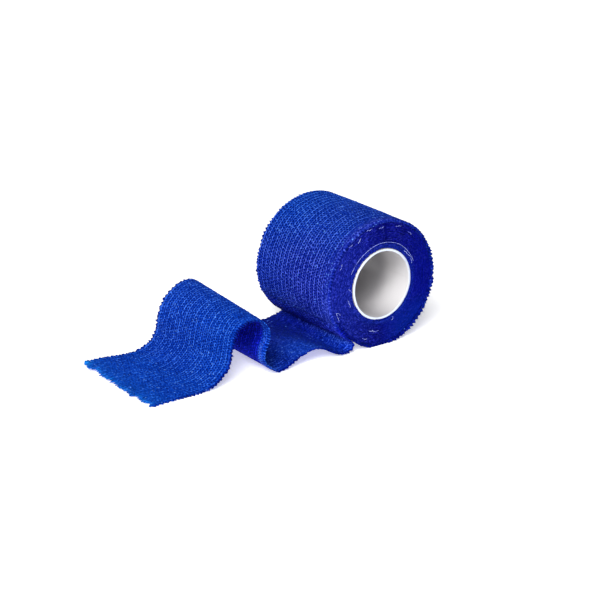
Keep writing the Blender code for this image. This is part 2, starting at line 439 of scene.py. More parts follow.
def keep(piece, name, values):
    """Keeps one number for each point of a mesh, for its material to read."""
    values = np.ascontiguousarray(values, np.float32).ravel()
    piece.data.attributes.new(name, "FLOAT", "POINT").data.foreach_set("value", values)


def stored(material, name):
    """The number that a mesh keeps under a name, for a material."""
    return start(material.node_tree, "ShaderNodeAttribute", attribute_name=name).outputs["Fac"]


keep(wound, "turn", np.repeat(turn_number + through_turn, len(rings)))

wound_blue, wound_shader, where = plain_material("wound_crepe", 0.95, 0.03)
turn = stored(wound_blue, "turn")
nap = noise(where, 1350.0, 2.0, Roughness=0.7)
cloud = noise(where, 230.0, 2.0)
place = parts_of(where)
blue = mixed(rise(cloud, 0.15, 0.62), FACE_DEEP, FACE_NAVY)
blue = mixed(times(rise(turn, 12.5, 15.5), 0.8), blue, FACE_INNER)
# Painted light: the face lighter towards its left, its bright nap stronger there
blue = mixed(times(rise(place["X"], 4.0 * MM, -22.0 * MM), 0.9), blue, FACE_LEFT_PAINTED_LIGHT)
blue = mixed(times(rise(nap, 0.51, 0.40), 0.65), blue, FACE_DEEP)
at_left = rise(place["X"], 6.0 * MM, -14.0 * MM)
blue = mixed(times(rise(nap, 0.52, 0.66), plus(times(at_left, 0.34), 0.46)), blue, FACE_BRIGHT)
# Painted shade: the face darker towards its right; painted light: lighter again low on its right
blue = mixed(times(rise(place["X"], 9.0 * MM, 21.0 * MM), 0.60), blue, FACE_RIGHT_PAINTED_SHADE)
low_right = times(rise(place["Z"], 22.0 * MM, 8.0 * MM), rise(place["X"], -4.0 * MM, 12.0 * MM))
wound_finish = {
    "Base Color": mixed(times(low_right, 0.55), blue, FACE_LOW_PAINTED_LIGHT),
    "Normal": dimpled(nap, 0.7, 0.40 * MM),
    "Specular Tint": (0.15, 0.30, 1.0, 1.0),
    "Sheen Weight": 0.08,
    "Sheen Roughness": 0.5,
    "Sheen Tint": (0.05, 0.12, 1.0, 1.0),
}
fill(wound_shader, wound_finish)
wound.data.materials.append(wound_blue)
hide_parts("wound_bandage")
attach(wound, "root")


# ------------------------------------------------------------------ outer turn
# The strip's last turn round the roll, its rims pulled in over the turns below. Elastic threads
# run round it every 3 mm, and between them the crepe is gathered into short ridges and hollows.

THREAD_PITCH = 2.77 * MM
WOUND_RIDGE = 1.45 * MM
CREPE_DEPTH = 0.20 * MM
OUTER_THICKNESS = 1.17 * MM
OUTER_STEP = 0.35 * MM
COLUMN_STEP = 0.36 * MM
LOOSE_HALF = 25.1 * MM
LAP_SHIFT = 0.62 * MM
SETTLE = 50.0
EDGE_OUT = 0.42 * MM
EDGE_TEETH = 0.80 * MM
EDGE_FLARE = 0.52 * MM
RAGGED_IN = 1.2
FRONT_TEETH_SEED = 71.5
BACK_TEETH_SEED = 72.5
BULGE = 0.30 * MM
GO_UNDER_START = 10.0
GO_UNDER_END = 36.0
INSIDE_SHARES = (0.99, 0.93, 0.0, -0.93, -0.99)
CLEAREST_GRID = 1.35
GRID_AWAY = (100.0, 500.0)

# The strip's edge flares a little and rounds off: how far in from the edge, and how far down, in mm
RIM_ROUNDING = (
    (2.20, -0.05),
    (1.60, -0.14),
    (1.10, -0.20),
    (0.70, -0.18),
    (0.38, 0.00),
    (0.14, 0.36),
    (0.00, 0.85),
)

# The crepe's blues: the dark one painted shade for its hollows, the ground, and the pale one for its
# threads and, as painted highlight, its ridges; each first as on the roll, then a lighter cyan that is
# mixed in on the loose end and, as painted light, in places on the roll
CREPE_BLUES = {
    "dark": ((0.0008, 0.0030, 0.118, 1.0), (0.0005, 0.0110, 0.155, 1.0)),
    "ground": ((0.0064, 0.0142, 0.252, 1.0), (0.0004, 0.0370, 0.380, 1.0)),
    "pale": ((0.085, 0.122, 0.640, 1.0), (0.032, 0.168, 0.740, 1.0)),
}
# Painted shade: the colour that the cloth is multiplied by where it is painted darker
PAINTED_SHADE_TINT = (0.07, 0.11, 0.54, 1.0)
# Painted shade: the deeper, bluer colour that the cloth is multiplied by where it lies in shade
PAINTED_SHADE_BLUE_TINT = (0.48, 0.45, 1.75, 1.0)
# Lighter cyan at the cut end, also used as a painted highlight on the tips of the roll's right rim
CUT_CYAN = (0.0080, 0.1750, 0.650, 1.0)
STAR_BLUE = (0.130, 0.330, 0.860, 1.0)

# What the meshes of the crepe keep at each point for its material: its height with painted light added, how
# clearly its grid shows, its share of lighter cyan blue, partly painted light, its painted shade, its
# lighter cyan, and its deeper blue as painted shade
KEPT = ("relief", "order", "cyan_and_painted_light", "painted_shade", "cyan_lightening", "painted_shade_blue")


def swell(value, middle, reach):
    """1 in the middle, and softly down to 0 a reach away on both sides."""
    return smooth(1.0 - np.abs(value - middle) / reach)


def by_edge(outwards, reach, width):
    """Rises to 1 towards the strip's edge, from a reach in from it and over a width, both in mm."""
    return smooth((outwards - LOOSE_HALF + reach * MM) / (width * MM))


def crepe_cells(along, across, ridges):
    """A point's place in the crepe's own grid: threads across, ridges along, both wandering."""
    u = across / THREAD_PITCH + 0.28
    u = u + 0.10 * waver(along / (9 * MM), across / (6 * MM), 11)
    u = u + 0.05 * waver(along / (2.2 * MM), across / (3 * MM), 10)
    v = ridges + 0.30 * waver(along / (2.6 * MM), across / (2.3 * MM), 12)
    v = v + 0.60 * waver(along / (11 * MM), across / (7 * MM), 13)
    return u, v


def crepe_relief(u, v, along, across, order):
    """The crepe's height, from about -1 in its hollows to 1; order is how much its grid shows."""
    from_thread = np.abs(u - np.round(u))
    from_line = np.minimum(from_thread, 0.5 - from_thread)
    offset = 0.5 * np.mod(np.floor(2.0 * u), 2.0)
    from_ridge = np.abs(v + offset - np.round(v + offset))
    hollow = smooth((from_line - 0.05) / 0.14) * smooth((from_ridge - 0.12) / 0.30)
    thread = np.exp(-((from_thread / 0.11) ** 2))
    grid = 0.7 * thread + 0.35 * (1.0 - 2.0 * from_ridge) - hollow
    loose_grain = 0.70 * waver(along / (0.62 * MM), across / (0.62 * MM), 14)
    loose_grain = loose_grain + 0.35 * waver(along / (1.6 * MM), across / (1.3 * MM), 15)
    return order * grid + (1.15 - 0.6 * order) * loose_grain


def roll_radius(degrees):
    """The roll's radius, a lap less where the turn goes in under the loose end."""
    past = (degrees - 360.0 - GO_UNDER_START) / (GO_UNDER_END - GO_UNDER_START)
    return ROLL_RADIUS - LAP_DEPTH * smooth(past)


def keep_cells(piece, u, v):
    """Stores the crepe's grid on the mesh, well above 0, as the map that its colours are drawn by."""
    mesh = piece.data
    corner = np.empty(len(mesh.loops), np.int64)
    mesh.loops.foreach_get("vertex_index", corner)
    layer = mesh.uv_layers.new(name="crepe")
    places = np.stack([u.ravel()[corner] + GRID_AWAY[0], v.ravel()[corner] + GRID_AWAY[1]], 1)
    layer.uv.foreach_set("vector", places.astype(np.float32).ravel())


def crepe_material(name):
    """Crepe cloth: hollows painted darker as shade, pale elastic threads, ridges painted paler as
    highlight, and scattered bright fibres.
    """
    material, shader, where = plain_material(name, 0.9, 0.05)
    relief, order, cyan_and_painted_light, painted_shade, cyan_lightening, under = [stored(material, kind) for kind in KEPT]
    grain = noise(where, 1150.0, 3.0, Roughness=0.75)
    blots = noise(where, 150.0, 2.0)

    grid = parts_of(start(material.node_tree, "ShaderNodeUVMap", uv_map="crepe").outputs["UV"])
    from_thread = figure("PINGPONG", grid["X"], 0.5)
    from_line = figure("PINGPONG", grid["X"], 0.25)
    row = figure("FLOOR", times(grid["X"], 2.0))
    along = plus(grid["Y"], times(figure("MODULO", row, 2.0), 0.5))
    from_ridge = figure("PINGPONG", along, 0.5)
    cell = add("ShaderNodeCombineXYZ", {"X": row, "Y": figure("FLOOR", plus(along, -0.5))}).outputs[0]
    luck = add("ShaderNodeTexWhiteNoise", {"Vector": cell}, noise_dimensions="2D").outputs["Value"]

    hollow = times(rise(from_line, 0.05, 0.16), rise(from_ridge, 0.14, 0.34))
    hollow = times(hollow, rise(luck, -0.6, 0.8))
    thread = times(rise(from_thread, 0.115, 0.03), rise(grain, 0.40, 0.58))
    second = times(rise(from_thread, 0.42, 0.48), rise(grain, 0.50, 0.64))
    line = plus(thread, times(second, 0.35))
    ridge = times(rise(from_ridge, 0.16, 0.03), rise(grain, 0.46, 0.64))
    drawn = plus(times(line, 1.35), times(ridge, 0.55))
    drawn = times(plus(drawn, times(hollow, -2.00)), order)
    unevenness = plus(times(order, -1.5), 5.4)
    height = plus(times(plus(grain, -0.5), unevenness), times(relief, 0.45))
    height = plus(plus(height, drawn), times(plus(blots, -0.5), 0.5))

    # Lighter cyan blues, mixed in by the share the mesh keeps: painted light on the roll's top, on the
    # loose end's front and towards its cut end
    pale = mixed(cyan_and_painted_light, *CREPE_BLUES["pale"])
    colour = mixed(cyan_and_painted_light, *CREPE_BLUES["ground"])
    # Painted shade in the hollows and painted highlight on the ridges, by the crepe's height; the pale
    # threads are also their own colour
    colour = mixed(rise(height, -0.70, -0.10), mixed(cyan_and_painted_light, *CREPE_BLUES["dark"]), colour)
    colour = mixed(rise(height, 0.20, 1.15), colour, pale)
    from_hair = figure("ABSOLUTE", plus(noise(where, 430.0, 1.0, Distortion=0.6), -0.5))
    strand = times(rise(from_hair, 0.018, 0.004), rise(blots, 0.50, 0.62))
    colour = mixed(times(strand, 0.35), colour, pale)
    spot = add("ShaderNodeTexVoronoi", {"Vector": where, "Scale": 640.0}, feature="F1").outputs["Distance"]
    star = times(rise(spot, 0.27, 0.12), rise(noise(where, 380.0, 1.0), 0.54, 0.62))
    colour = mixed(times(star, 0.65), colour, STAR_BLUE)
    # Lighter cyan where the mesh keeps it: a painted highlight on the roll's right rim tips, and the
    # lighter cyan of the cut end and curled corner
    colour = mixed(cyan_lightening, colour, CUT_CYAN)
    # Painted shade: the colour darkened by the share of painted shade that the mesh keeps
    colour = mixed(painted_shade, colour, PAINTED_SHADE_TINT, "MULTIPLY")
    colour = mixed(times(star, times(painted_shade, 0.40)), colour, STAR_BLUE)
    rough = add("ShaderNodeMapRange", {"Value": grain, "To Min": 0.75, "To Max": 1.0})
    finish = {
        # Painted shade: deeper and bluer where the mesh keeps its share of it
        "Base Color": mixed(under, colour, PAINTED_SHADE_BLUE_TINT, "MULTIPLY"),
        "Roughness": rough.outputs["Result"],
        "Normal": dimpled(height, 0.6, 0.25 * MM),
        "Specular Tint": (0.15, 0.35, 1.0, 1.0),
        "Sheen Weight": 0.06,
        "Sheen Roughness": 0.45,
        "Sheen Tint": (0.08, 0.25, 1.0, 1.0),
    }
    fill(shader, finish)
    return material


outer_degrees = np.linspace(LAP_TOP, LAP_TOP + 360.0, int(math.tau * ROLL_RADIUS / OUTER_STEP))
outer_run = np.radians(outer_degrees - LAP_TOP) * ROLL_RADIUS
outer_ridges = outer_run / WOUND_RIDGE
on_top = swell(outer_degrees, 180.0, 75.0)
settled = smooth((outer_degrees - LAP_TOP) / SETTLE)
outer_half = LOOSE_HALF + (BAND_HALF - LOOSE_HALF) * settled
outer_middle = LAP_SHIFT * (1.0 - settled)
rim_start = LOOSE_HALF - 3.0 * MM
spread = np.linspace(-rim_start, rim_start, int(2 * rim_start / COLUMN_STEP) + 1)


def crepe_order(along, across, slackness):
    """How clearly the crepe's grid shows: less near the front rim and where the cloth lies loose."""
    patch = 1.25 - 0.60 * slackness + 0.24 * waver(along / (17 * MM), across / (11 * MM), 41)
    patch = patch + 0.16 * waver(along / (5 * MM), across / (4 * MM), 43)
    patch = patch - 0.50 * smooth((along - 40 * MM) / (18 * MM))
    patch = patch + 0.40 * smooth((across + 4 * MM) / (14 * MM)) * (1.0 - slackness)
    past_ridge = smooth((-along - 42 * MM) / (16 * MM))
    patch = patch - 0.65 * smooth((15 * MM - along) / (15 * MM)) * (1.0 - past_ridge)
    pulled_smooth = 0.70 * smooth((3.0 * MM - LOOSE_HALF - across) / (5.0 * MM) + 1.0) * (1.0 - slackness)
    return np.clip(patch * (1.0 - pulled_smooth), 0.0, CLEAREST_GRID)


def crepe_cyan_share(across):
    """The cloth's share of cyan on the roll's side, rising towards the back."""
    return 0.10 + 0.35 * smooth((across + 10 * MM) / (35 * MM))


outer_rings = []
outer_kept = {name: [] for name in ("u", "v") + KEPT}


def add_outer(across, drop, relief_share, ragged=0.0):
    """Adds one line of points round the outer turn: its place across, and down from the surface."""
    across = np.broadcast_to(across, outer_run.shape)
    u, v = crepe_cells(outer_run, across, outer_ridges)
    order = crepe_order(outer_run, across, 0.0)
    relief = crepe_relief(u, v, outer_run, across, order)
    bulge = BULGE * on_top * (1.0 - (across / LOOSE_HALF) ** 2)
    r = roll_radius(outer_degrees) + bulge - drop + CREPE_DEPTH * relief_share * relief + ragged
    angle = np.radians(outer_degrees)
    y = outer_middle + across * outer_half / LOOSE_HALF
    z = np.maximum(AXIS_HEIGHT - r * np.cos(angle), OFF_TABLE + 0.3 * max(drop, 0.0))
    outer_rings.append(np.stack([-r * np.sin(angle), y, z], -1))
    to_top = smooth((outer_degrees - 105.0) / 50.0)
    pulled_down = 0.35 * smooth((drop / MM - 0.1) / 0.7)
    at_edge = 0.45 * by_edge(np.abs(across), 0.3, 0.5)
    # Painted shade: darker at the roll's back, at both rims where they roll under, and on the front rim
    # past the top
    back_shade = 0.14 * smooth((across - 6 * MM) / (14 * MM))
    edge_shade = np.where(across < 0, 0.20 + 0.80 * smooth((outer_degrees - 190.0) / 60.0), 1.1)
    by_rim = by_edge(-across, 7.0, 6.0)
    past_top = smooth((outer_degrees - 195.0) / 50.0)
    # Painted light: the front rim lighter before the top, and lighter low on its front-left
    at_rim = 0.35 * by_edge(-across, 3.5, 2.0) * (1.0 - past_top)
    rim_shade = 0.55 * by_edge(-across, 1.8, 1.2) * past_top
    # Painted highlight: the tips of the front rim lighter past the top, towards the right
    lit_tips = by_edge(-across, 0.45, 0.5) * past_top * smooth((345.0 - outer_degrees) / 30.0)
    lit_tips = lit_tips * (0.5 + 0.5 * waver(outer_run / (1.3 * MM), 0.5, 78))
    low_rim = smooth((115.0 - outer_degrees) / 45.0) * smooth((-across - 12 * MM) / (9 * MM))
    shade = back_shade + rim_shade + edge_shade * (pulled_down + at_edge)
    kept = {
        "u": u,
        "v": v,
        # The crepe's height, with painted light added on the front rim
        "relief": relief * (1.0 - 0.5 * by_rim * (1.0 - past_top)) + at_rim + 0.8 * low_rim,
        "order": order,
        # Painted light: more of the lighter cyan on the roll's top
        "cyan_and_painted_light": np.clip(crepe_cyan_share(across) + 0.45 * to_top * (1.0 - by_rim), 0.0, 1.0),
        "painted_shade": np.clip(shade, 0.0, 1.0 - 0.35 * lit_tips),
        "cyan_lightening": 0.18 * lit_tips,
        # Painted shade: deeper blue on the roll's lower side
        "painted_shade_blue": 0.18 * smooth((125.0 - outer_degrees) / 50.0),
    }
    for name, values in kept.items():
        outer_kept[name].append(np.broadcast_to(values, outer_run.shape))


to_right = smooth((outer_degrees - 175.0) / 60.0)
pressed = 0.60 * swell(outer_degrees, 366.0, 34.0)
edge_front = EDGE_OUT * (0.30 + 0.70 * to_right)
edge_front += EDGE_TEETH * (0.22 + 0.78 * to_right) * teeth(outer_run, FRONT_TEETH_SEED)
edge_front = edge_front * (1.0 - pressed)
edge_back = EDGE_OUT + EDGE_TEETH * teeth(outer_run, BACK_TEETH_SEED)
flare_front = EDGE_FLARE * (0.60 + 0.80 * np.cos(np.radians(outer_degrees - 315.0)) - 0.50 * on_top)
flare_front += EDGE_FLARE * (0.08 + 0.92 * to_right) * teeth(outer_run, 75.5)
flare_front = flare_front * (1.0 - pressed)
flare_back = EDGE_FLARE * (0.10 + 0.60 * np.cos(np.radians(outer_degrees - 85.0)) - 0.20 * on_top)
flare_back += EDGE_FLARE * teeth(outer_run, 76.5)
for inset, drop in RIM_ROUNDING[::-1]:
    ragged_share = smooth(1.0 - inset / RAGGED_IN)
    place = -(LOOSE_HALF - inset * MM) - ragged_share * edge_front
    add_outer(place, drop * MM, 0.5, ragged_share * flare_front)
for across in spread:
    add_outer(across, 0.0, 1.0)
for inset, drop in RIM_ROUNDING:
    ragged_share = smooth(1.0 - inset / RAGGED_IN)
    place = LOOSE_HALF - inset * MM + ragged_share * edge_back
    add_outer(place, drop * MM, 0.8, ragged_share * flare_back)
for share in INSIDE_SHARES:
    add_outer(share * LOOSE_HALF, OUTER_THICKNESS, 0.0)
outer = skin("outer_turn", np.stack(outer_rings, 1))
close_ends(outer)
keep_cells(outer, np.stack(outer_kept["u"], 1), np.stack(outer_kept["v"], 1))
for name in KEPT:
    keep(outer, name, np.stack(outer_kept[name], 1))
crepe = crepe_material("royal_blue_crepe")
outer.data.materials.append(crepe)
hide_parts("wound_bandage")
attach(outer, "root")


# ------------------------------------------------------------------- loose end
# The strip's free end, slack and so more finely gathered. It turns back under itself at the foot
# of the roll and runs over a low ridge, through a valley and over a tall arch to its cut end.

SHEET = 1.0 * MM
LOOSE_RIDGE = 1.20 * MM
LOOSE_STEP = 0.36 * MM
LAP_ANGLES = (62.0, 55.0, 49.0, 43.0, 38.0)
DRIFT_START_X = -15.0 * MM
DRIFT_BEND_X = -75.0 * MM
DRIFT_AT_ROLL = 0.2 * MM
DRIFT_SLOPE_NEAR = 0.045
DRIFT_SLOPE_FAR = 0.028
CUT_BOW = 1.1 * MM
CUT_WAVE = 1.60 * MM
CUT_TEETH = 2.10 * MM
CUT_OUT = 0.30 * MM
CUT_SLANT = 0.45 * MM
CORNER_TAG = 1.3 * MM
CORNER_NOTCH = 1.4 * MM
CURL_LENGTH = 3.6 * MM
CURL_WIDTH = 6.0 * MM
CURL_HEIGHT = -0.15 * MM
FOLD_OPEN = 0.9 * MM
FINE_STEPS = 24
RIM_TIP = 0.12

# Where the run from the roll reaches the cloth's bends
FOOT_RUN = 8.5 * MM
FOLD_RUN = 13.5 * MM
FOLD_MOUTH_RUN = 16.0 * MM
CREVICE_RUN = 16.5 * MM
RIDGE_RUN = 36.0 * MM
ARCH_RUN = 50.0 * MM
ARCH_END_RUN = 88.0 * MM
CUT_RUN = 118.0 * MM

# Painted shade on the cloth, by the run from the roll in mm: at the back, then the front
PAINTED_SHADE_RUN = (0.0, 4.0, 8.0, 12.0, 15.5, 18.0, 24.0, 31.0, 38.0, 47.0, 56.0, 60.0, 150.0)
PAINTED_SHADE_BACK = (0.10, 0.45, 0.85, 0.95, 0.30, 0.70, 1.00, 0.92, 0.62, 0.62, 0.30, 0.00, 0.00)
PAINTED_SHADE_FRONT = (0.00, 0.00, 0.00, 0.00, 0.12, 0.42, 0.85, 0.52, 0.10, 0.50, 0.30, 0.00, 0.00)

# Folds from the roll to the cut end, in mm: x and height at the front edge, then at the back edge
FOLD_COLUMNS = ("name", "front_x", "front_z", "back_x", "back_z")
FOLDS = (
    ("turn_in", -14.95, 4.20, -14.45, 4.25),
    ("turn", -15.00, 3.00, -14.35, 3.65),
    ("turn_out", -15.60, 1.90, -14.85, 3.20),
    ("lobe", -17.30, 1.15, -16.80, 2.50),
    ("rest", -20.40, 1.05, -19.80, 1.65),
    ("crease", -24.20, 2.20, -23.70, 1.35),
    ("rise", -28.00, 4.50, -27.50, 1.40),
    ("ridge", -33.80, 6.30, -33.00, 1.80),
    ("fall", -39.50, 5.10, -38.00, 1.80),
    ("slope", -45.00, 2.70, -43.50, 1.20),
    ("valley_in", -49.20, 1.00, -47.50, 0.50),
    ("valley_out", -52.00, 0.70, -50.00, 0.50),
    ("toe", -56.40, 3.40, -54.40, 3.00),
    ("leg_low", -59.00, 6.90, -57.00, 6.80),
    ("leg_mid", -58.70, 11.20, -56.70, 11.60),
    ("leg_high", -56.90, 15.60, -55.00, 16.40),
    ("shoulder", -56.90, 20.00, -54.60, 21.20),
    ("crown_in", -60.20, 24.20, -57.20, 25.80),
    ("crown", -64.80, 25.30, -61.70, 26.90),
    ("crown_out", -69.60, 24.10, -67.20, 25.20),
    ("brow", -72.80, 20.20, -72.60, 20.80),
    ("outer_leg", -74.40, 14.50, -75.50, 13.80),
    ("outer_foot", -76.30, 8.00, -76.90, 7.20),
    ("ease", -80.20, 3.90, -79.80, 3.60),
    ("foot", -84.50, 1.50, -83.80, 1.50),
    ("flat", -88.50, 0.50, -88.50, 0.60),
    ("lay", -98.00, 0.50, -98.50, 1.20),
    ("cut_end", -111.30, 0.50, -110.60, 1.80),
)


def middle_y(x):
    """Y of the loose end's middle line at a given x."""
    near_run = min(max(DRIFT_START_X - x, 0.0), DRIFT_START_X - DRIFT_BEND_X)
    far_run = max(DRIFT_BEND_X - x, 0.0)
    return DRIFT_AT_ROLL + DRIFT_SLOPE_NEAR * near_run + DRIFT_SLOPE_FAR * far_run


def edge_points(side):
    """Points along one long edge of the loose end: side is -1 for front, +1 for back."""
    x_column, z_column = ("front_x", "front_z") if side < 0 else ("back_x", "back_z")
    points = []
    for degrees in LAP_ANGLES:
        reach = ROLL_RADIUS - SHEET / 2
        x = -reach * math.sin(math.radians(degrees))
        z = AXIS_HEIGHT - reach * math.cos(math.radians(degrees))
        points.append(Vector((x, middle_y(x) + side * LOOSE_HALF, z)))
    for row in FOLDS:
        fold = dict(zip(FOLD_COLUMNS, row))
        x = fold[x_column] * MM
        z = fold[z_column] * MM
        points.append(Vector((x, middle_y(x) + side * LOOSE_HALF, z)))
    return points


def through(points):
    """A smooth line through the points, with even spacing between them."""
    padded = [points[0] * 2 - points[1]] + points + [points[-1] * 2 - points[-2]]
    line = []
    for before, first, last, after in zip(padded, padded[1:], padded[2:], padded[3:]):
        t0 = 0.0
        t1 = t0 + math.sqrt((first - before).length)
        t2 = t1 + math.sqrt((last - first).length)
        t3 = t2 + math.sqrt((after - last).length)
        for i in range(FINE_STEPS):
            t = t1 + (t2 - t1) * i / FINE_STEPS
            a1 = before.lerp(first, (t - t0) / (t1 - t0))
            a2 = first.lerp(last, (t - t1) / (t2 - t1))
            a3 = last.lerp(after, (t - t2) / (t3 - t2))
            b1 = a1.lerp(a2, (t - t0) / (t2 - t0))
            b2 = a2.lerp(a3, (t - t1) / (t3 - t1))
            line.append(b1.lerp(b2, (t - t1) / (t2 - t1)))
    line.append(points[-1])
    return np.array([tuple(point) for point in line])


front_line = through(edge_points(-1))
back_line = through(edge_points(1))
middle_line = (front_line + back_line) / 2
lengths = np.linalg.norm(np.diff(middle_line, axis=0), axis=1)
measured = np.concatenate([[0.0], np.cumsum(lengths)])
loose_length = float(measured[-1])
loose_rows = int(loose_length / LOOSE_STEP)
loose_run = np.linspace(0.0, loose_length, loose_rows + 1)
front_line = np.stack([np.interp(loose_run, measured, front_line[:, k]) for k in range(3)], 1)
back_line = np.stack([np.interp(loose_run, measured, back_line[:, k]) for k in range(3)], 1)
slackness = smooth(loose_run / (30.0 * MM))
ridge_pitch = WOUND_RIDGE + (LOOSE_RIDGE - WOUND_RIDGE) * slackness
loose_ridges = -np.concatenate([[0.0], np.cumsum(np.diff(loose_run) / ridge_pitch[1:])])

# Points across the sheet: evenly in the middle, closer at its two ragged edges
near_edge = np.array([LOOSE_HALF - inset * MM for inset, _ in RIM_ROUNDING[:-1]] + [LOOSE_HALF - 0.1 * MM])
loose_columns = np.concatenate([-near_edge[::-1], spread, near_edge])
across = np.broadcast_to(loose_columns, (loose_rows + 1, len(loose_columns)))
run = loose_run[:, None]
to_cut = loose_length - run
slackness = slackness[:, None]
past_fold = smooth((run - 45.0 * MM) / (15.0 * MM))
past_foot = smooth(run / (15.0 * MM))
at_arch = smooth((run - ARCH_RUN) / (8 * MM)) * smooth((ARCH_END_RUN - run) / (8 * MM))
front_share = (0.22 + 0.78 * past_foot) * (1.0 - 0.6 * at_arch)
front_teeth = EDGE_OUT * (0.30 + 0.70 * past_foot) + 0.75 * MM * past_fold
front_teeth += (EDGE_TEETH * front_share + 0.25 * MM * past_fold) * teeth(-run, FRONT_TEETH_SEED)
back_teeth = EDGE_OUT + 0.80 * MM * past_fold
back_teeth += (EDGE_TEETH + 0.40 * MM * past_fold) * teeth(-run, BACK_TEETH_SEED)
near_front = by_edge(-across, RAGGED_IN, RAGGED_IN)
near_back = by_edge(across, RAGGED_IN, RAGGED_IN)
shifted = across - near_front * front_teeth + near_back * back_teeth


def laid_out(places):
    """Points of the sheet on straight lines between its two edges, before it is cut."""
    share = ((places / LOOSE_HALF + 1.0) / 2.0)[..., None]
    points = front_line[:, None] * (1.0 - share) + back_line[:, None] * share
    opened = swell(run, FOLD_MOUTH_RUN, 5.0 * MM) * smooth((LOOSE_HALF - np.abs(across)) / (5 * MM))
    opened = opened * (0.7 + 1.5 * smooth((12 * MM - across) / (26 * MM)))
    return points + FOLD_OPEN * opened[..., None] * np.array([-1.0, 0.0, 0.6])


sheet = laid_out(shifted)
even_sheet = laid_out(across)
normal = np.cross(np.gradient(even_sheet, axis=0), np.gradient(even_sheet, axis=1))
normal /= np.linalg.norm(normal, axis=-1, keepdims=True)
if normal[-5, across.shape[1] // 2, 2] < 0:
    normal = -normal
share = (shifted / LOOSE_HALF + 1.0) / 2.0
end_share = np.maximum(1.0 - to_cut / (13.0 * MM), 0.0)
sheet[..., 0] -= CUT_BOW * end_share * 4.0 * share * (1.0 - share)
cut_line = CUT_WAVE * waver(across[-1] / (3.8 * MM), 0.5, 74) + CUT_TEETH * teeth(across[-1], 73.5)
cut_line += CUT_OUT - CUT_SLANT * across[-1] / LOOSE_HALF
cut_line += CORNER_TAG * swell(across[-1], 21.8 * MM, 3.4 * MM)
cut_line -= CORNER_NOTCH * swell(across[-1], 17.0 * MM, 2.2 * MM)
sheet[..., 0] -= smooth((end_share - 0.65) / 0.35) * cut_line[None, :]
curl = smooth(1.0 - to_cut / CURL_LENGTH)
curl = curl * smooth((across - LOOSE_HALF + CURL_WIDTH) / CURL_WIDTH)
sheet[..., 2] += CURL_HEIGHT * curl
sheet[..., 0] += 0.4 * MM * curl**2

# The rim of the roll carries on, rounded, into the start of the loose end
rounding_in, rounding_down = np.array(RIM_ROUNDING[::-1]).T * MM
pulled_in = np.interp(LOOSE_HALF - np.abs(across), rounding_in, rounding_down, right=0.0)
pulled_in = pulled_in * (1.0 - smooth(run / (16.0 * MM)))

loose_u, loose_v = crepe_cells(-run, across, loose_ridges[:, None])
to_end = smooth((run - CUT_RUN) / (18 * MM))
loose_order = crepe_order(-run, across, slackness) * (1.0 - 0.5 * to_end)
relief = crepe_relief(loose_u, loose_v, -run, across, loose_order)
depth = CREPE_DEPTH * (1.0 - 0.6 * swell(run, FOLD_RUN, 5.0 * MM))
edge_fall = 0.30 * (near_front + near_back)
thin_end = 0.55 * smooth(1.0 - to_cut / (1.3 * MM)) * (1.0 - curl)
half_sheet = (SHEET / 2 - 0.10 * MM) * (1.0 - edge_fall - thin_end) * (1.0 + 1.2 * curl)
top = sheet + normal * (half_sheet - pulled_in + depth * relief)[..., None]
under = sheet - normal * (half_sheet + 0.8 * pulled_in - 0.5 * depth * relief)[..., None]
few = np.concatenate([[0], np.arange(1, across.shape[1] - 1, 2), [across.shape[1] - 1]])


def beyond(line, before):
    """The outermost line of an edge: a little beyond the last points of the sheet."""
    outward = line - before
    return (line + outward / np.linalg.norm(outward, axis=1, keepdims=True) * RIM_TIP * MM)[:, None]


rim_front = beyond((top[:, 0] + under[:, 0]) / 2, (top[:, 1] + under[:, 1]) / 2)
rim_back = beyond((top[:, -1] + under[:, -1]) / 2, (top[:, -2] + under[:, -2]) / 2)
loose_rings = np.concatenate([top, rim_back, under[:, few[::-1]], rim_front], axis=1)
loose_rings[..., 2] = np.maximum(loose_rings[..., 2], OFF_TABLE)


def end_of_sheet(row):
    """Small faces, each a step wide, that close an end of the sheet from its top to its under face."""
    first = row * loose_rings.shape[1]
    columns = across.shape[1]
    below = first + columns + len(few) - np.arange(len(few))
    faces = [[first + columns - 1, first + columns, below[-1]]]
    faces.append([below[0], first + loose_rings.shape[1] - 1, first])
    for k in range(len(few) - 1):
        above = [first + column for column in range(few[k], few[k + 1] + 1)]
        faces.append(above + [below[k + 1], below[k]])
    return faces


loose = skin("loose_crepe", loose_rings, end_faces=end_of_sheet(0) + end_of_sheet(loose_rows))
close_ends(loose)


def all_round(values, under_values=None):
    """Repeats the sheet's numbers round its section: top, back rim, under face, front rim."""
    under_values = values if under_values is None else under_values
    return np.concatenate([values, values[:, -1:], under_values[:, few[::-1]], values[:, :1]], axis=1)


keep_cells(loose, all_round(loose_u), all_round(loose_v))
# Painted shade on the loose end's top by the run from the roll, less on the low ridge, darker along the
# ragged long edges, lighter on the arch's front rim; and under the arch's front part
painted_shade_at_back = np.interp(run, np.array(PAINTED_SHADE_RUN) * MM, PAINTED_SHADE_BACK)
painted_shade_at_front = np.interp(run, np.array(PAINTED_SHADE_RUN) * MM, PAINTED_SHADE_FRONT)
to_front = smooth((12 * MM - across) / (32 * MM))
at_ridge = 1.1 * swell(run, RIDGE_RUN, 9 * MM) * smooth((-across - 10 * MM) / (12 * MM))
